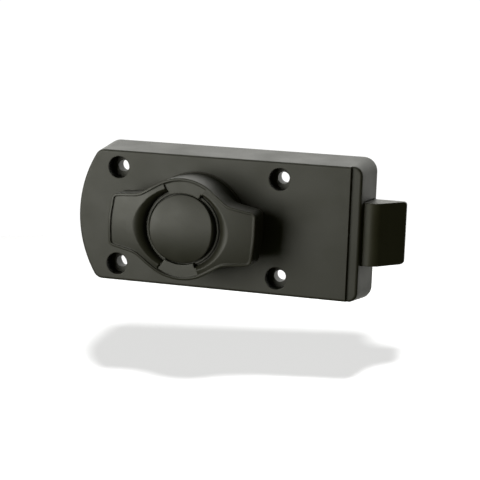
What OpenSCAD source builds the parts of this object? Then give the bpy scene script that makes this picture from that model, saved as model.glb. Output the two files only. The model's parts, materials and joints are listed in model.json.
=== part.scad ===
// Rim latch for a caravan door: a moulded case with a winged turn knob and a sprung, wedge-nosed bolt.
// Turning the knob swings a follower whose involute flank draws the bolt back against its spring.
// Origin: spindle axis on the back (door) face. +X towards the bolt, +Y into the door, +Z up.

/* [Case] */
// Depth of the case from its front face to the door
case_depth = 18; // [16.5:0.5:24]
// Height of the front face
case_h = 50; // [48:0.5:60]
// Right edge of the case from the spindle axis, at the front
case_right = 62.3; // [60:0.1:72]
// Left end of the case from the spindle axis, at the front
case_left = 47.6; // [45:0.1:56]
// Radius of the bowed left end
end_bow_r = 45; // [40:0.5:60]
// Radius of the two left corners
left_corner_r = 4; // [3.5:0.25:6]
// Radius of the two right corners
right_corner_r = 3.25; // [3:0.25:6]
// How far the walls spread from front to back, on each side
wall_draft = 2; // [1:0.1:3]
// Thickness of the case walls
wall = 2.4; // [1.6:0.1:2.8]
// Radius of the rounded front edge
edge_r = 0.9; // [0.4:0.1:1.4]
// Width of the lower ledge at the bolt end
ledge_w = 3.9; // [2:0.1:4.5]
// Step from the front face down to the ledge
ledge_step = 1.1; // [0.5:0.1:1.5]

/* [Fixing holes] */
// Distance between fixing holes along the case
fix_pitch_x = 63.5; // [62:0.5:66]
// Distance between fixing holes across the case
fix_pitch_z = 37.2; // [37:0.1:39]
// Radius of the through hole for a 4 mm screw
fix_hole_r = 2.25; // [2:0.05:2.75]
// Radius of the sunk seat for the screw head
fix_seat_r = 4.2; // [3.8:0.1:4.6]
// Depth of the sunk seat
fix_seat_depth = 5.4; // [3:0.1:6]
// Thickness of the web under the screw head
fix_web = 5.1; // [3:0.1:6]
// Wall of the hollow fixing boss
boss_wall = 1.5; // [1.2:0.1:1.7]

/* [Back plate] */
// Thickness of the steel back plate
plate_t = 1.5; // [1:0.1:2]
// Width of the ledge that the back plate rests on
plate_seat_w = 1.8; // [1:0.1:2.4]
// Gap round the edge of the back plate
plate_gap = 0.15; // [0.1:0.05:0.3]
// Thread radius of the plate screws
plate_screw_r = 1.25; // [1:0.05:1.5]
// Head radius of the plate screws
plate_screw_head_r = 2.3; // [1.9:0.1:2.6]
// Length of the plate screws
plate_screw_l = 7.5; // [5:0.5:9]
// Radius of the posts that take the plate screws
plate_post_r = 2.8; // [2.4:0.1:3]

/* [Latch bolt] */
// Height of the bolt
bolt_h = 23.4; // [20:0.1:24]
// Thickness of the bolt, front to back
bolt_t = 12.2; // [10:0.1:12.4]
// Bolt nose from the spindle axis
bolt_tip_x = 76.6; // [74:0.1:80]
// Width of the flat on the nose
bolt_nose_w = 0.9; // [0.5:0.1:2]
// Length of the wedge on the nose
wedge_l = 9; // [7:0.25:10.5]
// Radius of the upper and lower corners of the nose
bolt_nose_r = 1.2; // [0.5:0.1:2.5]
// Radius that leads from the front of the bolt into the wedge
wedge_blend_r = 5; // [3:0.25:6]
// Height of the stop shoulder above and below the bolt
shoulder_h = 2.2; // [1:0.1:2.4]
// Length of the stop shoulder
shoulder_l = 3; // [2:0.25:4]
// Length of the bolt inside the case, behind the shoulder
bolt_tail_l = 12.5; // [11:0.5:13.5]
// Height of the bolt inside the case, behind the shoulder
bolt_tail_h = 22; // [18:0.5:22]
// Sliding clearance round the bolt
bolt_clear = 0.3; // [0.2:0.05:0.5]

/* [Carriage] */
// Thickness of the carriage plate
carriage_t = 2.4; // [1.8:0.1:2.4]
// Height of the carriage plate
carriage_h = 20; // [18.8:0.2:21]
// Radius of the two rivets that hold the bolt
rivet_r = 1.5; // [1.2:0.1:2]
// Distance between the rivets
rivet_pitch = 10; // [8:0.5:13]
// Radius of the guide stud
stud_r = 2; // [1.5:0.1:2.5]
// Guide stud from the spindle axis
stud_x = 32; // [30:0.5:36]
// Thickness of the spring tab
tab_t = 2.4; // [2:0.1:3]

/* [Follower] */
// Base radius of the involute flank, which sets the bolt's travel
base_r = 11.5; // [10.5:0.1:11.8]
// Working turn of the knob in degrees
knob_turn = 60; // [45:1:60]
// Contact point before the turn, measured from the spindle axis
contact_lead = 2; // [1.5:0.1:3]
// Gap between the flank and the pallet
flank_gap = 0.15; // [0.1:0.05:0.3]
// Thickness of the follower arm
arm_t = 4.6; // [3:0.1:4.8]
// Radius of the follower hub
hub_r = 7; // [6.4:0.1:7.2]

/* [Spindle] */
// Side of the square spindle
spindle_sq = 7; // [6:0.25:7.25]
// Gap round the spindle in its sockets
spindle_gap = 0.05; // [0.03:0.01:0.1]
// Radius of the rear journal
rear_journal_r = 3.2; // [2.6:0.1:3.4]
// Running clearance of both bearings, on the radius
run_clear = 0.05; // [0.02:0.01:0.08]
// Radius of the knob's journal in the front wall
front_journal_r = 8; // [7.6:0.1:8.4]
// Wall of the front bush
bush_wall = 1.5; // [1:0.1:2]

/* [Knob] */
// Height of the knob's crown over the case
knob_h = 21; // [20:0.5:24]
// Radius of the round centre of the knob
knob_r = 18.9; // [18.6:0.1:20]
// Half of the span over the wings
wing_span = 27.7; // [26:0.1:32]
// Half height of a wing at its tip
wing_tip_h = 9.7; // [8:0.1:10.2]
// Half height of a wing where it meets the centre
wing_root_h = 11.2; // [10:0.1:11.5]
// Distance of the wing root along X inside the edge of the round centre
wing_root_x = 1.8; // [0.9:0.1:2.4]
// Bulge of the wing tip
wing_bulge = 0.7; // [0.2:0.1:1.5]
// Gap under the wings, above the case
wing_clear = 8.4; // [7:0.2:9]
// Radius of the crown across the knob
crown_r = 60; // [50:1:90]
// Radius of the crown along the wings
crown_long_r = 172; // [140:1:300]
// Width of the raised lip round the face
lip_w = 0.9; // [0.6:0.1:1.4]
// Height of the raised lip
lip_h = 0.6; // [0.3:0.1:1]
// Gap between the knob and the case
knob_gap = 0.4; // [0.3:0.05:0.8]
// Wall of the hollow knob
knob_wall = 2.2; // [1.8:0.1:3]
// Wall round the wings' hollow underside
wing_wall = 1.8; // [1.5:0.1:2]
// Depth of the wings' hollow underside below the crown
wing_roof = 5.5; // [5:0.1:7]
// Width of the thin flange at the knob's foot
foot_w = 0.3; // [0.2:0.05:0.4]
// Thickness of the thin flange at the knob's foot
foot_t = 0.5; // [0.3:0.1:1]
// Turn of the knob at rest, clockwise from level
knob_tilt = 3.4; // [0:0.1:5]

/* [Knob centre] */
// Radius of the centre cap
cap_r = 12.7; // [12:0.1:12.9]
// Gap round the centre cap
cap_gap = 0.5; // [0.3:0.05:0.6]
// Depth of the cap's crown below the crown of the wings
cap_drop = 2; // [1.5:0.1:2.5]
// Radius of the cap's crown across the wings
cap_crown_r = 36; // [32:1:60]
// Radius of the cap's rolled edge
cap_edge_r = 2.2; // [1:0.1:2.4]
// Thickness of the cap at its crown
cap_t = 3.4; // [3.2:0.1:3.8]
// Width of the thin collar round the cap
collar_w = 0.7; // [0.5:0.05:0.8]
// Depth of the collar's rim below the cap's crown
collar_drop = 2.9; // [1.6:0.1:3]
// Outer radius of the finger pockets at the wings
pocket_r = 18.5; // [18.2:0.1:19]
// Radius of the rolled edge that leads into the pockets
pocket_roll = 4; // [3.4:0.1:4.1]
// Half angle of each bridge between the pockets
bridge_half = 25; // [15:1:35]
// Depth of the bridges below the cap's crown
bridge_drop = 1.4; // [1.1:0.1:1.5]

/* [Spring] */
// Wire radius of the bolt spring
wire_r = 0.4; // [0.3:0.05:0.5]
// Mean radius of the bolt spring
coil_r = 3; // [2.6:0.1:3.2]
// Turns of the bolt spring
coil_turns = 9; // [6:1:11]
// Radius of the guide rod
rod_r = 1.7; // [1.4:0.1:1.9]

/* [Hidden] */
$fn = 96;

black = "#2b2b28";
satin_black = "#343430";
steel = "#b9bcc0";
zinc = "#c9c6ba";
bronze = "#b08d57";

// Planes along the depth, all negative because the case stands in front of the door
front_y = -case_depth;
ledge_y = front_y + ledge_step;
inner_y = front_y + wall;
plate_y = -plate_t;
seat_bottom_y = front_y + fix_seat_depth;
web_back_y = seat_bottom_y + fix_web;

// Case outline
half_h = case_h / 2;
bow_x = end_bow_r - case_left;
left_corner_z = half_h - left_corner_r;
// Left corners stand out a hair so that they cross the bow instead of only touching it
corner_lap = 0.02;
left_corner_x = bow_x - corner_lap - sqrt(pow(end_bow_r - left_corner_r, 2) - pow(left_corner_z, 2));
right_corner_x = case_right - right_corner_r;
right_corner_z = half_h - right_corner_r;
panel_right = case_right - ledge_w;
outline_far = 4 * case_left;
edge_steps = 3;

// Fixing bosses and plate posts
boss_core_r = fix_seat_r + 1.1;
boss_r = boss_core_r + boss_wall;
boss_gap = 0.2;
post_left = -14;
post_right = 46;
post_x = [post_left, post_right];
post_lap = 0.4;
post_z = half_h - wall - plate_post_r + post_lap;
post_hole_gap = 0.05;

// Bolt
travel = base_r * knob_turn * PI / 180;
bolt_back_y = plate_y - bolt_clear;
bolt_front_y = bolt_back_y - bolt_t;
wedge_x = bolt_tip_x - wedge_l;
inner_right = case_right - wall;
shoulder_x = inner_right - bolt_clear - shoulder_l;
bolt_left = shoulder_x - bolt_tail_l;
carriage_front_y = bolt_back_y - carriage_t;
rivet_x = bolt_left + 0.5 * bolt_tail_l;
rivet_l = 7.5;
rivet_head = 0.8;

// Follower and pallet
flank_y = carriage_front_y - bolt_clear;
arm_front_y = flank_y - arm_t;
pallet_x = -contact_lead;
pallet_t = 4;
pallet_low = 8.2;
pallet_reach = 4;
pallet_high = base_r + pallet_reach;
hub_clear = 0.6;
window_h = hub_r + hub_clear;
window_lead = 2.2;
window_left = -hub_r - window_lead;
window_right = hub_r + travel + 1;
tab_inset = 2.3;
tab_right = window_left - tab_inset;
tab_left = tab_right - tab_t;
tab_h = 14;
rod_rise = 4.2;
rod_y = carriage_front_y - rod_rise;
rod_hole_gap = 0.3;
rod_end_gap = 1;

// Spring seat on the left
seat_block_l = 9.5;
seat_face_x = -case_left + seat_block_l;
seat_block_h = 11;
seat_block_front = inner_y;
seat_block_back = carriage_front_y;
washer_t = 0.6;
spring_clear = 0.1;
rod_socket = 5;

// Bearings
rear_flange_r = rear_journal_r + 2.6;
rear_flange_t = 0.9;
rear_bush_r = rear_journal_r + 1.4;
front_bush_r = front_journal_r + bush_wall;
front_flange_r = front_bush_r + 2;
front_flange_t = 1.2;
bush_gap = 0.04;
clip_t = 1;
clip_groove = 0.7;
clip_reach = 1.7;
washer_gap = 0.05;
thrust_t = 0.5;
wave_t = 0.6;
journal_end_y = inner_y + thrust_t + clip_t + 0.9;
hub_front_y = journal_end_y + 0.1;

// Knob
skirt_y = front_y - knob_gap;
wing_under_y = front_y - wing_clear;
crown_y = front_y - knob_h;
root_x = knob_r - wing_root_x;
skirt_inset = 0.1;
cap_top_y = crown_y + cap_drop;
cap_floor_y = cap_top_y + cap_t;
cap_well_r = cap_r + cap_gap;
cap_lead = 0.1;
collar_r = cap_well_r + collar_w;
collar_in_r = cap_r - 0.4;
collar_top_y = cap_top_y + collar_drop;
screw_well_depth = 3.4;
screw_floor_y = cap_floor_y + screw_well_depth;
screw_well_r = 5;
cap_spigot_l = 1.4;
socket_skin = 2.2;
socket_front_y = screw_floor_y + socket_skin;
hollow_rise = 2.6;
hollow_roof_y = wing_under_y - hollow_rise;
wing_core_y = crown_y + wing_roof;
wing_core_gap = 0.5;
hub_boss_r = front_journal_r + 2.4;
hub_face_y = front_y - front_flange_t - wave_t - 2 * washer_gap;
knob_screw_r = 2;
knob_screw_head_r = 3.6;
knob_screw_head_t = 2.2;
knob_screw_l = 10;
screw_washer_r = 4.4;
screw_washer_t = 0.8;
screw_hole_gap = 0.15;
tip_corner_r = 2.2;
root_fillet_r = 8;
bulge_r = 45;
arc_steps = 7;
rib_t = 1.6;
bridge_lap = 2;
bridge_out_r = knob_r - lip_w - 0.3;
bridge_y = cap_top_y + bridge_drop;
pocket_face_y = crown_y + crown_long_r - sqrt(pow(crown_long_r, 2) - pow(pocket_r, 2)) + lip_h;
pocket_floor_y = pocket_face_y + pocket_roll;
collar_foot = 0.6;

// Bar along Y between two depths, with an end radius at each
module bar_y(r_front, r_back, y_front, y_back, x = 0, z = 0) {
    translate([x, y_back, z])
        rotate([90, 0, 0])
            cylinder(h = y_back - y_front, r1 = r_back, r2 = r_front);
}

module rod_along_y(r, y_front, y_back, x = 0, z = 0) {
    bar_y(r, r, y_front, y_back, x, z);
}

module rod_along_x(r, x_left, x_right, y, z = 0) {
    translate([x_left, y, z])
        rotate([0, 90, 0])
            cylinder(h = x_right - x_left, r = r);
}

// Flat shape drawn in X and Z, given depth between two planes
module plate_between(y_front, y_back) {
    translate([0, y_back, 0])
        rotate([90, 0, 0])
            linear_extrude(y_back - y_front)
                children();
}

// Profile drawn as radius and depth, turned about the spindle axis
module turned_about_y(angle = 360, start = 0) {
    rotate([90, 0, 0])
        rotate([0, 0, start])
            rotate_extrude(angle = angle)
                children();
}

module box(x0, x1, y0, y1, z0, z1) {
    translate([x0, y0, z0])
        cube([x1 - x0, y1 - y0, z1 - z0]);
}

module tilted() {
    rotate([0, knob_tilt, 0])
        children();
}

// Wedge between the two rays from the bow's centre through the left corner centres
module bow_wedge() {
    ray = [left_corner_x - bow_x, left_corner_z] * 2 * end_bow_r / (end_bow_r - left_corner_r);
    polygon([[bow_x, 0], [bow_x + ray[0], ray[1]], [bow_x + ray[0], -ray[1]]]);
}

// Case outline grown outwards by a margin
module case_outline(grow) {
    intersection() {
        translate([bow_x, 0])
            circle(r = end_bow_r + grow);
        bow_wedge();
    }
    for (side = [-1, 1]) {
        translate([left_corner_x, side * left_corner_z])
            circle(r = left_corner_r + grow);
        translate([right_corner_x, side * right_corner_z])
            circle(r = right_corner_r + grow);
    }
    translate([left_corner_x, -half_h - grow])
        square([right_corner_x - left_corner_x, case_h + 2 * grow]);
    translate([right_corner_x - 1, -right_corner_z])
        square([right_corner_r + grow + 1, 2 * right_corner_z]);
}

// Slice of the case whose outline grows from one depth to the next
module drafted_slice(y_front, grow_front, y_back, grow_back) {
    intersection() {
        bar_y(end_bow_r + grow_front, end_bow_r + grow_back, y_front, y_back, bow_x);
        plate_between(y_front, y_back) bow_wedge();
    }
    for (side = [-1, 1]) {
        bar_y(left_corner_r + grow_front, left_corner_r + grow_back, y_front, y_back,
              left_corner_x, side * left_corner_z);
        bar_y(right_corner_r + grow_front, right_corner_r + grow_back, y_front, y_back,
              right_corner_x, side * right_corner_z);
    }
    translate([left_corner_x, 0, 0])
        rotate([90, 0, 90])
            linear_extrude(right_corner_x - left_corner_x)
                polygon([[y_front, -half_h - grow_front], [y_back, -half_h - grow_back],
                         [y_back, half_h + grow_back], [y_front, half_h + grow_front]]);
    translate([0, 0, -right_corner_z])
        linear_extrude(2 * right_corner_z)
            polygon([[right_corner_x - 1, y_front], [case_right + grow_front, y_front],
                     [case_right + grow_back, y_back], [right_corner_x - 1, y_back]]);
}

// Whole microns, so that stacked slices share the same circles
function snap(v) = round(v * 1000) / 1000;
function draft_at(y) = wall_draft * (y - front_y) / case_depth;
// Depth and growth along the rounded front edge, from the face (0) to the wall (90 degrees)
function edge_y(y_face, a) = snap(y_face + edge_r * (1 - cos(a)));
function edge_grow(y_face, a) = snap(draft_at(y_face + edge_r) + edge_r * (sin(a) - 1));

// Rounded front edge from the face plane given to the wall below it
module rounded_edge(y_face) {
    step = 90 / edge_steps;
    for (a = [0 : step : 90 - step])
        drafted_slice(edge_y(y_face, a), edge_grow(y_face, a),
                      edge_y(y_face, a + step), edge_grow(y_face, a + step));
}

// Solid drafted block: front panel, lower ledge at the bolt end and the wall they share
module case_block() {
    shared_y = edge_y(ledge_y, 90);
    shared_grow = edge_grow(ledge_y, 90);
    drafted_slice(shared_y, shared_grow, 0, wall_draft);
    intersection() {
        union() {
            rounded_edge(front_y);
            drafted_slice(edge_y(front_y, 90), edge_grow(front_y, 90), shared_y, shared_grow);
        }
        box(-outline_far, panel_right, front_y - 1, 1, -case_h, case_h);
    }
    intersection() {
        rounded_edge(ledge_y);
        box(panel_right, outline_far, front_y - 1, 1, -case_h, case_h);
    }
}

module at_fix_holes() {
    for (sx = [-1, 1], sz = [-1, 1])
        translate([sx * fix_pitch_x / 2, 0, sz * fix_pitch_z / 2])
            children();
}

module at_plate_posts() {
    for (x = post_x, sz = [-1, 1])
        translate([x, 0, sz * post_z])
            children();
}

module case_cavity() {
    difference() {
        plate_between(inner_y, 1) case_outline(-wall);
        at_fix_holes() rod_along_y(boss_r, inner_y - 1, 2);
        at_plate_posts() rod_along_y(plate_post_r, inner_y - 1, 2);
        box(-case_left, seat_face_x, seat_block_front - 1, seat_block_back,
            -seat_block_h / 2, seat_block_h / 2);
    }
}

module case_shell() {
    color(black)
    difference() {
        case_block();
        case_cavity();
        difference() {
            plate_between(plate_y, 1) case_outline(plate_seat_w - wall);
            at_fix_holes() rod_along_y(boss_r, plate_y - 1, 2);
        }
        box(inner_right - 1, outline_far, bolt_front_y - bolt_clear, plate_y,
            -bolt_h / 2 - bolt_clear, bolt_h / 2 + bolt_clear);
        rod_along_y(front_bush_r, front_y - 1, inner_y + 1);
        at_fix_holes() {
            rod_along_y(fix_seat_r, front_y - 1, seat_bottom_y);
            rod_along_y(fix_hole_r, front_y, 1);
            rod_along_y(boss_core_r, web_back_y, 1);
        }
        at_plate_posts() rod_along_y(plate_screw_r + post_hole_gap, -plate_screw_l - 1, 1);
        rod_along_x(rod_r + post_hole_gap, seat_face_x - rod_socket, seat_face_x + 1, rod_y);
    }
}

module back_plate() {
    color(zinc)
    difference() {
        plate_between(plate_y, 0) case_outline(plate_seat_w - wall - plate_gap);
        at_fix_holes() rod_along_y(boss_r + boss_gap, -case_depth, 1);
        at_plate_posts() {
            rod_along_y(plate_screw_r + post_hole_gap, -case_depth, 1);
            bar_y(plate_screw_r, plate_screw_head_r + plate_gap, plate_y, 0);
        }
        rod_along_y(rear_bush_r + bush_gap, -case_depth, 1);
        plate_between(plate_y - 1, 1) {
            translate([stud_x - travel, -stud_r - bolt_clear])
                square([travel, 2 * (stud_r + bolt_clear)]);
            for (x = [stud_x - travel, stud_x])
                translate([x, 0]) circle(r = stud_r + bolt_clear);
        }
    }
}

module plate_screws() {
    color(steel)
    at_plate_posts()
        difference() {
            union() {
                rod_along_y(plate_screw_r, -plate_screw_l, -plate_t / 2);
                bar_y(plate_screw_r, plate_screw_head_r, plate_y, -0.1);
            }
            for (turn = [0, 90])
                rotate([0, turn, 0])
                    box(-1.4, 1.4, -0.7, 1, -0.25, 0.25);
        }
}

module front_bush() {
    color(bronze)
    difference() {
        union() {
            rod_along_y(front_bush_r - bush_gap, front_y - front_flange_t, inner_y);
            rod_along_y(front_flange_r, front_y - front_flange_t, front_y);
        }
        rod_along_y(front_journal_r + run_clear, front_y - case_depth, 0);
    }
}

module rear_bush() {
    color(bronze)
    difference() {
        union() {
            rod_along_y(rear_bush_r, plate_y - rear_flange_t, -plate_gap);
            rod_along_y(rear_flange_r, plate_y - rear_flange_t, plate_y);
        }
        rod_along_y(rear_journal_r + run_clear, -case_depth, 1);
    }
}

module spring_rod() {
    color(steel)
    rod_along_x(rod_r, seat_face_x - rod_socket + post_hole_gap, tab_right + rod_end_gap, rod_y);
}

module spring_washer() {
    color(steel)
    difference() {
        rod_along_x(coil_r + 2 * wire_r, seat_face_x, seat_face_x + washer_t, rod_y);
        rod_along_x(rod_r + post_hole_gap, seat_face_x - 1, seat_face_x + washer_t + 1, rod_y);
    }
}

// Helix of round wire along X, closed at both ends
wire_sides = 8;
steps_per_turn = 16;
spring_x0 = seat_face_x + washer_t + spring_clear + wire_r;
spring_x1 = tab_left - spring_clear - wire_r;
coil_steps = coil_turns * steps_per_turn;
dead_share = 0.1;
function coil_x(t) =
    let (s = min(max((t - dead_share) / (1 - 2 * dead_share), 0), 1),
         pitch_x = 2 * wire_r * 1.1 * coil_turns * dead_share)
    spring_x0 + pitch_x * min(t / dead_share, 1) + s * (spring_x1 - spring_x0 - 2 * pitch_x)
    + pitch_x * max((t - 1 + dead_share) / dead_share, 0);
function coil_ring(i) =
    let (t = i / coil_steps, a = 360 * coil_turns * t)
    [for (k = [0 : wire_sides - 1])
        let (b = 360 * k / wire_sides, r = coil_r + wire_r * cos(b))
        [coil_x(t) + wire_r * sin(b), rod_y + r * cos(a), r * sin(a)]];
coil_points = [for (i = [0 : coil_steps], p = coil_ring(i)) p];
coil_sides = [for (i = [0 : coil_steps - 1], k = [0 : wire_sides - 1])
    let (n = (k + 1) % wire_sides, a = i * wire_sides, b = (i + 1) * wire_sides)
    [a + k, b + k, b + n, a + n]];
coil_caps = [[for (k = [0 : wire_sides - 1]) k],
             [for (k = [wire_sides - 1 : -1 : 0]) coil_steps * wire_sides + k]];

module bolt_spring() {
    color(steel)
    polyhedron(coil_points, concat(coil_sides, coil_caps), convexity = 10);
}

// Corner of an outline, rounded by an arc that touches both sides
function corner_arc(before, at, after, r, steps) =
    let (u = (before - at) / norm(before - at),
         v = (after - at) / norm(after - at),
         half = acos(max(-1, min(1, u * v))) / 2,
         mid = (u + v) / norm(u + v),
         centre = at + mid * r / sin(half),
         start = at + u * r / tan(half),
         side = sign(u[0] * v[1] - u[1] * v[0]),
         a0 = atan2(start[1] - centre[1], start[0] - centre[0]),
         sweep = side * (180 - 2 * half))
    [for (i = [0 : steps]) centre + r * [cos(a0 - sweep * i / steps), sin(a0 - sweep * i / steps)]];

function rounded_outline(corners) =
    let (n = len(corners))
    [for (i = [0 : n - 1])
        let (c = corners[i], before = corners[(i + n - 1) % n], after = corners[(i + 1) % n])
        each corner_arc([before[0], before[1]], [c[0], c[1]], [after[0], after[1]], c[2], c[3])];

// Corner moved inwards so that both sides shift by a margin; going round anticlockwise
function inset_corner(before, at, after, d) =
    let (u = (at - before) / norm(at - before),
         v = (after - at) / norm(after - at),
         nu = [-u[1], u[0]],
         nv = [-v[1], v[0]])
    at + (nu + nv) * d / (1 + nu * nv);

function inset_outline(corners, d) =
    let (n = len(corners))
    [for (i = [0 : n - 1])
        let (c = corners[i], before = corners[(i + n - 1) % n], after = corners[(i + 1) % n],
             p = inset_corner([before[0], before[1]], [c[0], c[1]], [after[0], after[1]], d))
        [p[0], p[1], c[4] > 0 ? c[2] - d : c[2] + d, c[3], c[4]]];

// Knob outline corners: x, z, radius, arc steps, 1 for a convex corner and -1 for a hollow one
apex_z = let (dx = root_x, dz = wing_root_h, len = sqrt(dx * dx + dz * dz),
              a = asin(knob_r / len) - atan2(dz, dx))
    wing_root_h + root_x * tan(a);
knob_half = [
    [wing_span, -wing_tip_h, tip_corner_r, arc_steps, 1],
    [wing_span + wing_bulge, 0, bulge_r, arc_steps, 1],
    [wing_span, wing_tip_h, tip_corner_r, arc_steps, 1],
    [root_x, wing_root_h, root_fillet_r, arc_steps, -1],
    [0, apex_z, knob_r, 3 * arc_steps, 1],
    [-root_x, wing_root_h, root_fillet_r, arc_steps, -1]];
knob_corners = concat(knob_half,
    [for (i = [0 : 5]) let (c = knob_half[i]) [-c[0], -c[1], c[2], c[3], c[4]]]);

module knob_outline(inset = 0) {
    corners = inset_outline(knob_corners, inset);
    polygon(rounded_outline(corners));
}

// Barrel whose axis lies along the wings and whose crown touches the depth given
module barrel(top_y, across_r, along_r) {
    translate([0, top_y + across_r, 0])
        rotate([0, 90, 0])
            rotate_extrude()
                intersection() {
                    translate([across_r - along_r, 0])
                        circle(r = along_r, $fn = 360);
                    translate([0, -1.5 * wing_span])
                        square([across_r, 3 * wing_span]);
                }
}

module crown(sink = 0) {
    barrel(crown_y + sink, crown_r - sink, crown_long_r - sink);
}

// Finger pocket that follows the bridge at the angle given, with a rolled outer edge
module pocket(bridge_at) {
    turned_about_y(180 - 2 * bridge_half, bridge_at + bridge_half)
        difference() {
            translate([collar_in_r, -pocket_floor_y])
                square([pocket_r - collar_in_r, pocket_floor_y - crown_y + 1]);
            translate([pocket_r, -pocket_floor_y])
                circle(r = pocket_roll);
        }
}

// Clears the flat land of the bridge at the angle given, between the pockets
module bridge_land(bridge_at) {
    land_half = bridge_half + bridge_lap;
    turned_about_y(2 * land_half, bridge_at - land_half)
        translate([collar_in_r, -bridge_y])
            square([bridge_out_r - collar_in_r, bridge_y - crown_y + 1]);
}

// Thin collar round the cap, standing on the floor of the pockets
module collar() {
    turned_about_y()
        polygon([[cap_well_r, -collar_top_y], [collar_r, -collar_top_y],
                 [collar_r, -pocket_floor_y - collar_foot], [collar_in_r - 1, -pocket_floor_y - collar_foot],
                 [collar_in_r - 1, -cap_floor_y], [cap_well_r, -cap_floor_y]]);
}

// Knob without its collar
module knob_shell() {
    difference() {
        union() {
            difference() {
                intersection() {
                    plate_between(crown_y - 1, wing_under_y) knob_outline();
                    crown();
                }
                difference() {
                    plate_between(crown_y - 1, wing_under_y - 1) knob_outline(lip_w);
                    crown(lip_h);
                }
            }
            rod_along_y(knob_r - skirt_inset, wing_under_y - 1, skirt_y);
            rod_along_y(knob_r + foot_w, skirt_y - foot_t, skirt_y);
        }
        bridge_land(90);
        bridge_land(270);
        pocket(90);
        pocket(270);
        difference() {
            plate_between(wing_core_y, wing_under_y + 1) knob_outline(wing_wall);
            rod_along_y(knob_r + wing_core_gap, crown_y, 0);
        }
        rod_along_y(cap_well_r, crown_y - 1, cap_floor_y);
        rod_along_y(screw_well_r, crown_y, screw_floor_y);
        rod_along_y(knob_screw_r + screw_hole_gap, crown_y, 0);
        difference() {
            rod_along_y(knob_r - knob_wall, hollow_roof_y, 0);
            rod_along_y(hub_boss_r, hollow_roof_y - 1, hub_face_y);
            rod_along_y(front_journal_r, hollow_roof_y - 1, 1);
            for (turn = [45, 135])
                rotate([0, turn, 0])
                    box(-knob_r, knob_r, hollow_roof_y - 1, hub_face_y - 2, -rib_t / 2, rib_t / 2);
        }
        rod_along_y(front_journal_r + 1, journal_end_y, 1);
        box(-spindle_sq / 2 - spindle_gap, spindle_sq / 2 + spindle_gap, socket_front_y, 0,
            -spindle_sq / 2 - spindle_gap, spindle_sq / 2 + spindle_gap);
        difference() {
            rod_along_y(front_journal_r + 1, inner_y + thrust_t + washer_gap,
                        inner_y + thrust_t + clip_t + 3 * washer_gap);
            rod_along_y(front_journal_r - clip_groove, inner_y, 0);
        }
    }
}

module knob_body() {
    color(satin_black)
    tilted() {
        knob_shell();
        collar();
    }
}

// Disc with a rolled edge, drawn as radius and depth
module cap_profile() {
    rim_h = cap_t + cap_lead;
    translate([0, -cap_floor_y]) {
        square([cap_r - cap_edge_r, rim_h]);
        square([cap_r, rim_h - cap_edge_r]);
        translate([cap_r - cap_edge_r, rim_h - cap_edge_r])
            intersection() {
                circle(r = cap_edge_r);
                square(cap_edge_r);
            }
    }
}

module knob_cap() {
    spigot_r = screw_well_r - 0.1;
    color(satin_black)
    tilted()
    difference() {
        union() {
            intersection() {
                turned_about_y() cap_profile();
                barrel(cap_top_y, cap_crown_r, crown_long_r);
            }
            rod_along_y(spigot_r, cap_floor_y - 1, cap_floor_y + cap_spigot_l);
        }
        rod_along_y(spigot_r - 1, cap_floor_y, cap_floor_y + cap_spigot_l + 1);
    }
}

module knob_screw() {
    head_back = screw_floor_y - screw_washer_t;
    color(steel)
    difference() {
        union() {
            rod_along_y(knob_screw_head_r, head_back - knob_screw_head_t, head_back);
            rod_along_y(knob_screw_r, head_back, head_back + knob_screw_l);
        }
        for (turn = [0, 90])
            rotate([0, turn, 0])
                box(-2, 2, head_back - knob_screw_head_t - 1, head_back - knob_screw_head_t + 1.2, -0.4, 0.4);
    }
}

module screw_washer() {
    color(steel)
    difference() {
        rod_along_y(screw_washer_r, screw_floor_y - screw_washer_t, screw_floor_y);
        rod_along_y(knob_screw_r + screw_hole_gap, crown_y, 0);
    }
}

// Ring round the journal between the knob and the bush
module wave_washer() {
    color(steel)
    difference() {
        rod_along_y(front_flange_r - 0.5, hub_face_y + washer_gap, hub_face_y + washer_gap + wave_t);
        rod_along_y(front_journal_r + 0.2, crown_y, 0);
    }
}

module thrust_washer() {
    color(bronze)
    difference() {
        rod_along_y(front_journal_r + clip_reach + 1, inner_y, inner_y + thrust_t);
        rod_along_y(front_journal_r + 0.2, crown_y, 0);
    }
}

module circlip() {
    clip_y = inner_y + thrust_t + 2 * washer_gap;
    ear_x = front_journal_r - clip_groove + clip_reach + 0.6;
    color(steel)
    difference() {
        union() {
            rod_along_y(front_journal_r - clip_groove + clip_reach, clip_y, clip_y + clip_t);
            for (side = [-1, 1])
                rod_along_y(1.3, clip_y, clip_y + clip_t, 1.8 * side, -ear_x);
        }
        rod_along_y(front_journal_r - clip_groove + washer_gap, crown_y, 0);
        box(-0.7, 0.7, crown_y, 0, -2 * ear_x, 0);
        for (side = [-1, 1])
            rod_along_y(0.6, crown_y, 0, 1.8 * side, -ear_x);
    }
}

module spindle() {
    color(steel)
    tilted()
    difference() {
        union() {
            box(-spindle_sq / 2, spindle_sq / 2, socket_front_y + spindle_gap, flank_y + bolt_clear / 2,
                -spindle_sq / 2, spindle_sq / 2);
            rod_along_y(rear_journal_r, flank_y, -plate_gap);
        }
        rod_along_y(knob_screw_r + spindle_gap, crown_y,
                    screw_floor_y - screw_washer_t + knob_screw_l + 1);
    }
}

// Involute point after a roll of the base circle, measured back from the top
function flank_point(roll) =
    let (a = 90 - roll, s = contact_lead - flank_gap + base_r * roll * PI / 180)
    [base_r * cos(a) - s * sin(a), base_r * sin(a) + s * cos(a)];
flank_steps = 14;
flank_from = -(contact_lead - flank_gap) / base_r * 180 / PI;
flank_points = [for (i = [0 : flank_steps])
    flank_point(flank_from + (knob_turn + 2 - flank_from) * i / flank_steps)];

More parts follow.
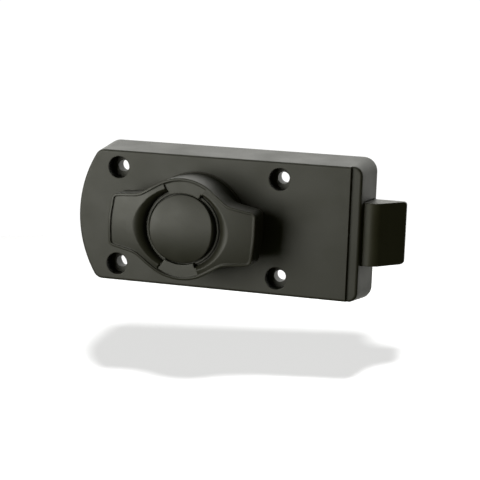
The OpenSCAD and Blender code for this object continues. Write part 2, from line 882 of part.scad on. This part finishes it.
module follower() {
    color(zinc)
    difference() {
        union() {
            rod_along_y(hub_r, hub_front_y, flank_y);
            plate_between(arm_front_y, flank_y)
                polygon(concat([[0, 0], [flank_points[0][0], 0]], flank_points,
                               [flank_points[flank_steps] + [2.2, -1.2], [hub_r, 0.5 * hub_r]]));
        }
        tilted()
            box(-spindle_sq / 2 - spindle_gap, spindle_sq / 2 + spindle_gap, front_y, 0,
                -spindle_sq / 2 - spindle_gap, spindle_sq / 2 + spindle_gap);
    }
}

// Bolt section in X and depth, with the wedge rising from the front to the nose at the back
module bolt_section() {
    nose_y = bolt_back_y - bolt_nose_w;
    corners = [[wedge_x, bolt_front_y], [bolt_tip_x, nose_y]];
    blend = corner_arc([bolt_left, bolt_front_y], corners[0], corners[1], wedge_blend_r, 10);
    polygon(concat([[bolt_left, bolt_back_y], [bolt_left, bolt_front_y]], blend,
                   [corners[1], [bolt_tip_x, bolt_back_y]]));
}

// Face of the bolt in X and height, with rounded corners at the nose
module bolt_face() {
    corner_x = bolt_tip_x - bolt_nose_r;
    corner_z = bolt_h / 2 - bolt_nose_r;
    translate([bolt_left - 1, -bolt_tail_h / 2])
        square([shoulder_x + 1 - bolt_left, bolt_tail_h]);
    translate([shoulder_x, -bolt_h / 2])
        square([corner_x - shoulder_x, bolt_h]);
    translate([corner_x - 1, -corner_z])
        square([bolt_nose_r + 1, 2 * corner_z]);
    for (side = [-1, 1])
        translate([corner_x, side * corner_z])
            circle(r = bolt_nose_r);
}

module latch_bolt() {
    color(black)
    difference() {
        union() {
            intersection() {
                translate([0, 0, -bolt_h / 2])
                    linear_extrude(bolt_h)
                        bolt_section();
                plate_between(bolt_front_y - 1, bolt_back_y + 1) bolt_face();
            }
            box(shoulder_x, shoulder_x + shoulder_l, bolt_front_y, bolt_back_y,
                -bolt_h / 2 - shoulder_h, bolt_h / 2 + shoulder_h);
        }
        box(bolt_left - 1, shoulder_x, carriage_front_y, 0, -bolt_h, bolt_h);
        for (side = [-1, 1])
            rod_along_y(rivet_r, bolt_back_y - rivet_l, 0, rivet_x, side * rivet_pitch / 2);
    }
}

module bolt_carriage() {
    color(zinc)
    difference() {
        union() {
            box(tab_left, shoulder_x, carriage_front_y, bolt_back_y, -carriage_h / 2, carriage_h / 2);
            box(pallet_x - pallet_t, pallet_x, arm_front_y, bolt_back_y, pallet_low, pallet_high);
            box(pallet_x - 2 * pallet_t, pallet_x + pallet_t, carriage_front_y, bolt_back_y,
                pallet_low, pallet_high);
            box(tab_left, tab_right, rod_y - tab_h / 2 + 2, bolt_back_y, -tab_h / 2, tab_h / 2);
        }
        box(window_left, window_right, -case_depth, 0, -window_h, window_h);
        for (side = [-1, 1]) {
            rod_along_y(rivet_r, -case_depth, 0, rivet_x, side * rivet_pitch / 2);
            rod_along_y(rivet_r + 1, bolt_back_y - rivet_head, 0, rivet_x, side * rivet_pitch / 2);
        }
        rod_along_y(stud_r, -case_depth, 0, stud_x);
        rod_along_x(rod_r + rod_hole_gap, tab_left - 1, tab_right + 1, rod_y);
    }
}

module bolt_rivets() {
    color(steel)
    for (side = [-1, 1]) {
        rod_along_y(rivet_r - post_hole_gap, bolt_back_y - rivet_l + post_hole_gap, bolt_back_y,
                    rivet_x, side * rivet_pitch / 2);
        rod_along_y(rivet_r + 1 - post_hole_gap, bolt_back_y - rivet_head, bolt_back_y,
                    rivet_x, side * rivet_pitch / 2);
    }
}

module guide_stud() {
    color(steel) {
        rod_along_y(stud_r - post_hole_gap, carriage_front_y, -plate_gap, stud_x);
        rod_along_y(stud_r + 1.2, carriage_front_y - 1, carriage_front_y, stud_x);
    }
}

case_shell();
back_plate();
plate_screws();
front_bush();
rear_bush();
spring_rod();
spring_washer();
bolt_spring();
knob_body();
knob_cap();
knob_screw();
screw_washer();
wave_washer();
thrust_washer();
circlip();
spindle();
follower();
latch_bolt();
bolt_carriage();
bolt_rivets();
guide_stud();
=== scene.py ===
import json
import math

import bmesh
import bpy
from mathutils import Matrix, Vector

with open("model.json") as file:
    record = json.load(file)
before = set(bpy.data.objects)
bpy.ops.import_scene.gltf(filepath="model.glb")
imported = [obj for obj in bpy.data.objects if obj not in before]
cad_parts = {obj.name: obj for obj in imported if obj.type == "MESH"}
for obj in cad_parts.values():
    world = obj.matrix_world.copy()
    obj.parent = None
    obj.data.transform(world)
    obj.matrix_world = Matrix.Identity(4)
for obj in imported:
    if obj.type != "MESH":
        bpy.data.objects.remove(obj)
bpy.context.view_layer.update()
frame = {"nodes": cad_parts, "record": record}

scene = bpy.context.scene
cadNodes = frame["nodes"]
print("frame loaded:", len(cadNodes), "CAD nodes")

# camera at the photo's angle
shot = {
    "place": (0.1874, -0.5795, 0.0993),
    "right": (0.9546, 0.2958, 0.0350),
    "up": (-0.0850, 0.1575, 0.9839),
    "lens": 119.7,
    "sensor": 36.0,
    "near": 0.01,
    "far": 20.0,
}


def makeCamera(look):
    data = bpy.data.cameras.new("photoCamera")
    data.lens = look["lens"]
    data.sensor_width = look["sensor"]
    data.clip_start, data.clip_end = look["near"], look["far"]
    camera = bpy.data.objects.new("photoCamera", data)
    right = Vector(look["right"]).normalized()
    back = right.cross(Vector(look["up"])).normalized()
    up = back.cross(right)
    turn = Matrix((right, up, back)).transposed().to_4x4()
    camera.matrix_world = Matrix.Translation(look["place"]) @ turn
    scene.collection.objects.link(camera)
    scene.camera = camera


makeCamera(shot)
print("camera placed")

# the mix node's colour sockets, which share their names with its other kinds
mixSockets = {"share": 0, "first": 6, "second": 7, "result": 2}


# node helpers
def setInputs(node, values):
    for name, value in values.items():
        node.inputs[name].default_value = value


def addNoise(tree, place, scale, detail, rough, stretch=None):
    if stretch:
        shape = tree.nodes.new("ShaderNodeMapping")
        setInputs(shape, {"Scale": stretch})
        tree.links.new(place, shape.inputs["Vector"])
        place = shape.outputs["Vector"]
    noise = tree.nodes.new("ShaderNodeTexNoise")
    setInputs(noise, {"Scale": scale, "Detail": detail, "Roughness": rough})
    tree.links.new(place, noise.inputs["Vector"])
    return noise.outputs["Fac"]


def addRange(tree, value, low, high, fromLow=0.3, fromHigh=0.7, blend="LINEAR"):
    node = tree.nodes.new("ShaderNodeMapRange")
    node.interpolation_type = blend
    setInputs(node, {"From Min": fromLow, "From Max": fromHigh, "To Min": low, "To Max": high})
    tree.links.new(value, node.inputs["Value"])
    return node.outputs["Result"]


def addMix(tree, share, first, second):
    node = tree.nodes.new("ShaderNodeMix")
    node.data_type = "RGBA"
    for name, colour in (("first", first), ("second", second)):
        socket = node.inputs[mixSockets[name]]
        if hasattr(colour, "is_linked"):
            tree.links.new(colour, socket)
        else:
            socket.default_value = (*colour, 1.0)
    tree.links.new(share, node.inputs[mixSockets["share"]])
    return node.outputs[mixSockets["result"]]


def addSum(tree, first, second, weight):
    node = tree.nodes.new("ShaderNodeMath")
    node.operation = "MULTIPLY_ADD"
    tree.links.new(second, node.inputs[0])
    node.inputs[1].default_value = weight
    tree.links.new(first, node.inputs[2])
    return node.outputs["Value"]


def addDot(tree, first, second):
    node = tree.nodes.new("ShaderNodeVectorMath")
    node.operation = "DOT_PRODUCT"
    for socket, value in zip(node.inputs, (first, second)):
        if hasattr(value, "is_linked"):
            tree.links.new(value, socket)
        else:
            socket.default_value = value
    return node.outputs["Value"]


def addBump(tree, height, strength, distance, normal):
    node = tree.nodes.new("ShaderNodeBump")
    setInputs(node, {"Strength": strength, "Distance": distance})
    tree.links.new(height, node.inputs["Height"])
    tree.links.new(normal, node.inputs["Normal"])
    return node.outputs["Normal"]


# white sweep behind and a dark room in front
studioRoom = {
    "sweepTowards": (-0.30, 0.90, 0.30),
    "sweepBright": (2.48, 2.48, 2.36),
    "sweepEdge": (0.30, 0.95),
    "roomDark": (0.07, 0.07, 0.035),
    "backdrop": 1.05,
}


def makeRoom(look):
    world = bpy.data.worlds.new("studioRoom")
    scene.world = world
    world.use_nodes = True
    tree = world.node_tree
    tree.nodes.clear()
    out = tree.nodes.new("ShaderNodeOutputWorld")
    choice = tree.nodes.new("ShaderNodeMixShader")
    light = tree.nodes.new("ShaderNodeBackground")
    seen = tree.nodes.new("ShaderNodeBackground")
    setInputs(seen, {"Color": (1, 1, 1, 1), "Strength": look["backdrop"]})
    path = tree.nodes.new("ShaderNodeLightPath")
    coords = tree.nodes.new("ShaderNodeTexCoord")
    side = addDot(tree, coords.outputs["Generated"], Vector(look["sweepTowards"]).normalized())
    share = addRange(tree, side, 0.0, 1.0, *look["sweepEdge"], blend="SMOOTHSTEP")
    link = tree.links.new
    link(addMix(tree, share, look["roomDark"], look["sweepBright"]), light.inputs["Color"])
    link(path.outputs["Is Camera Ray"], choice.inputs["Fac"])
    link(light.outputs["Background"], choice.inputs[1])
    link(seen.outputs["Background"], choice.inputs[2])
    link(choice.outputs["Shader"], out.inputs["Surface"])


# soft box at the front left
leftBox = {
    "place": (-0.84, -1.347, 0.15),
    "aim": (0.0, 0.0, 0.0),
    "width": 1.07,
    "height": 1.05,
    "power": 26.5,
    "tint": (1.0, 1.0, 0.91),
}


def makeBox(name, look):
    data = bpy.data.lights.new(name, "AREA")
    data.shape = "RECTANGLE"
    data.size, data.size_y = look["width"], look["height"]
    data.energy = look["power"]
    data.color = look["tint"]
    lamp = bpy.data.objects.new(name, data)
    lamp.location = look["place"]
    ray = Vector(look["aim"]) - Vector(look["place"])
    lamp.rotation_euler = ray.to_track_quat("-Z", "Y").to_euler()
    scene.collection.objects.link(lamp)


# glowing white floor, risen to the right by some degrees, that only its own lamp shades
paleFloor = {
    "height": -0.0744,
    "rise": 5.7,
    "size": 0.9,
    "glow": 0.635,
    "white": 0.1,
    "lampPlace": (0.1568, -0.5159, 0.3916),
    "lampRadius": 0.042,
    "lampPower": 400.0,
}


def makeFloor(look):
    bm = bmesh.new()
    bmesh.ops.create_grid(bm, x_segments=1, y_segments=1, size=look["size"] / 2)
    rise = Matrix.Rotation(-math.radians(look["rise"]), 3, "Y")
    bmesh.ops.rotate(bm, cent=(0, 0, 0), matrix=rise, verts=bm.verts)
    bmesh.ops.translate(bm, vec=(0, 0, look["height"]), verts=bm.verts)
    mesh = bpy.data.meshes.new("paleFloor")
    bm.to_mesh(mesh)
    bm.free()
    floor = bpy.data.objects.new("paleFloor", mesh)
    scene.collection.objects.link(floor)
    floor.visible_glossy = False
    floor.visible_diffuse = False
    paint = bpy.data.materials.new("paleFloor")
    paint.use_nodes = True
    setInputs(paint.node_tree.nodes["Principled BSDF"], {
        "Base Color": (look["white"], look["white"], look["white"], 1.0),
        "Roughness": 1.0,
        "Specular IOR Level": 0.0,
        "Emission Color": (1, 1, 1, 1),
        "Emission Strength": look["glow"],
    })
    mesh.materials.append(paint)
    data = bpy.data.lights.new("floorLamp", "POINT")
    data.energy = look["lampPower"]
    data.shadow_soft_size = look["lampRadius"]
    lamp = bpy.data.objects.new("floorLamp", data)
    lamp.location = look["lampPlace"]
    scene.collection.objects.link(lamp)
    lit = bpy.data.collections.new("floorOnly")
    lit.objects.link(floor)
    lamp.light_linking.receiver_collection = lit


scene.view_settings.view_transform = "Standard"
makeRoom(studioRoom)
makeFloor(paleFloor)
makeBox("leftBox", leftBox)
print("studio lit: soft box and the floor's lamp")


def startMaterial(name):
    mat = bpy.data.materials.new(name)
    mat.use_nodes = True
    tree = mat.node_tree
    coords = tree.nodes.new("ShaderNodeTexCoord")
    return mat, tree, tree.nodes["Principled BSDF"], coords.outputs["Object"]


# edges softened in the shading, and a mask of them: 0 on faces, 1 along edges
edgeLook = {"samples": 6, "sharp": 0.72, "flat": 0.99}


def softNormal(tree, radius):
    soft = tree.nodes.new("ShaderNodeBevel")
    soft.samples = edgeLook["samples"]
    setInputs(soft, {"Radius": radius})
    return soft.outputs["Normal"]


def edgeMask(tree, normal):
    face = tree.nodes.new("ShaderNodeNewGeometry")
    along = addDot(tree, normal, face.outputs["Normal"])
    return addRange(tree, along, 1.0, 0.0, edgeLook["sharp"], edgeLook["flat"])


# spark-eroded black plastic: fine grain, faint cloudiness, edges smoother and painted paler,
# partly as rubbed wear and partly as a painted highlight along them
mouldLook = {
    "grainDetail": 3.0, "grainRough": 0.6, "grainDepth": 0.00004, "grainGloss": 0.06,
    "cloudDetail": 3.0, "cloudRough": 0.55, "cloudRange": (0.45, 0.95),
    "flowScale": 2.5, "flowDetail": 2.0, "flowRough": 0.5, "flowStretch": (0.25, 1.0, 1.0),
    "flowShare": 0.4, "wearAndHighlightFrom": 0.2, "glossLess": 0.04, "glossMore": 0.05,
}


def mouldedPlastic(name, look):
    mat, tree, shader, place = startMaterial(name)
    mould = mouldLook
    grain = addNoise(tree, place, look["grain"], mould["grainDetail"], mould["grainRough"])
    cloud = addNoise(tree, place, look["cloud"], mould["cloudDetail"], mould["cloudRough"])
    flow = addNoise(tree, place, look["cloud"] * mould["flowScale"], mould["flowDetail"],
                    mould["flowRough"], mould["flowStretch"])
    normal = softNormal(tree, look["edge"])
    edge = edgeMask(tree, normal)
    streaks = addSum(tree, cloud, flow, mould["flowShare"])
    body = addMix(tree, addRange(tree, streaks, 0.0, 1.0, *mould["cloudRange"]),
                  look["dark"], look["pale"])
    # paler colour along edges: partly rubbed wear, partly a painted highlight standing in for
    # the lit edge
    wearAndHighlight = addRange(tree, edge, 0.0, look["wearAndHighlight"], mould["wearAndHighlightFrom"], 1.0)
    tree.links.new(addMix(tree, wearAndHighlight, body, look["rubbedAndHighlight"]), shader.inputs["Base Color"])
    gloss = addRange(tree, cloud, look["gloss"] - mould["glossLess"],
                     look["gloss"] + mould["glossMore"])
    gloss = addSum(tree, gloss, grain, mould["grainGloss"])
    gloss = addSum(tree, gloss, edge, -look["polish"])
    tree.links.new(gloss, shader.inputs["Roughness"])
    bump = addBump(tree, grain, look["bump"], mould["grainDepth"], normal)
    tree.links.new(bump, shader.inputs["Normal"])
    shader.inputs["Specular IOR Level"].default_value = look["shine"]
    return mat


# rolled, plated or turned metal with fine lines along one way and dull spots
metalLook = {
    "lineDetail": 2.0, "lineRough": 0.6, "lineDepth": 0.00002, "lineGloss": 0.12,
    "spotDetail": 4.0, "spotRough": 0.6, "glossLess": 0.08, "glossMore": 0.1,
}


def workedMetal(name, look):
    mat, tree, shader, place = startMaterial(name)
    metal = metalLook
    lines = addNoise(tree, place, look["lines"], metal["lineDetail"], metal["lineRough"],
                     look["along"])
    spots = addNoise(tree, place, look["spots"], metal["spotDetail"], metal["spotRough"])
    tint = addMix(tree, addRange(tree, spots, 0.0, 1.0), look["dark"], look["pale"])
    tree.links.new(tint, shader.inputs["Base Color"])
    shader.inputs["Metallic"].default_value = 1.0
    gloss = addRange(tree, spots, look["gloss"] - metal["glossLess"],
                     look["gloss"] + metal["glossMore"])
    gloss = addSum(tree, gloss, lines, metal["lineGloss"])
    tree.links.new(gloss, shader.inputs["Roughness"])
    normal = softNormal(tree, look["edge"])
    bump = addBump(tree, lines, look["bump"], metal["lineDepth"], normal)
    tree.links.new(bump, shader.inputs["Normal"])
    return mat


# the paler edge colours below are partly wear and partly a painted edge highlight
casePlastic = {
    "dark": (0.0105, 0.0105, 0.0055), "pale": (0.0145, 0.0145, 0.0085),
    "rubbedAndHighlight": (0.03, 0.03, 0.026), "wearAndHighlight": 0.5, "polish": 0.08, "edge": 0.0004,
    "grain": 2600.0, "cloud": 70.0, "gloss": 0.5, "bump": 0.35, "shine": 0.5,
}
knobPlastic = {
    "dark": (0.0105, 0.0105, 0.0055), "pale": (0.0145, 0.0145, 0.0085),
    "rubbedAndHighlight": (0.035, 0.035, 0.03), "wearAndHighlight": 0.6, "polish": 0.12, "edge": 0.0006,
    "grain": 3400.0, "cloud": 110.0, "gloss": 0.47, "bump": 0.2, "shine": 0.5,
}
boltPlastic = {
    "dark": (0.014, 0.0135, 0.0055), "pale": (0.019, 0.0185, 0.008),
    "rubbedAndHighlight": (0.03, 0.03, 0.025), "wearAndHighlight": 0.5, "polish": 0.08, "edge": 0.0005,
    "grain": 3000.0, "cloud": 90.0, "gloss": 0.5, "bump": 0.18, "shine": 0.5,
}
zincPlate = {
    "dark": (0.45, 0.45, 0.43), "pale": (0.62, 0.61, 0.57), "edge": 0.0002,
    "lines": 900.0, "along": (0.06, 1.0, 1.0), "spots": 140.0, "gloss": 0.34, "bump": 0.2,
}
zincCast = {
    "dark": (0.36, 0.36, 0.37), "pale": (0.5, 0.5, 0.5), "edge": 0.0003,
    "lines": 1500.0, "along": (1.0, 1.0, 1.0), "spots": 260.0, "gloss": 0.48, "bump": 0.4,
}
turnedSteel = {
    "dark": (0.42, 0.43, 0.45), "pale": (0.62, 0.63, 0.65), "edge": 0.00015,
    "lines": 1800.0, "along": (1.0, 0.08, 1.0), "spots": 300.0, "gloss": 0.26, "bump": 0.15,
}
oiledBronze = {
    "dark": (0.33, 0.21, 0.09), "pale": (0.52, 0.36, 0.17), "edge": 0.0002,
    "lines": 1400.0, "along": (1.0, 0.3, 1.0), "spots": 420.0, "gloss": 0.38, "bump": 0.25,
}
finishes = {
    "case_plastic": mouldedPlastic("casePlastic", casePlastic),
    "knob_plastic": mouldedPlastic("knobPlastic", knobPlastic),
    "bolt_plastic": mouldedPlastic("boltPlastic", boltPlastic),
    "zinc_plate": workedMetal("zincPlate", zincPlate),
    "zinc_cast": workedMetal("zincCast", zincCast),
    "steel": workedMetal("turnedSteel", turnedSteel),
    "bronze": workedMetal("oiledBronze", oiledBronze),
}
print("materials made:", len(finishes))

for part in frame["record"]["subparts"]:
    mesh = cadNodes[part["node"]].data
    mesh.materials.clear()
    mesh.materials.append(finishes[part["material_slot"]])
print("CAD nodes dressed")
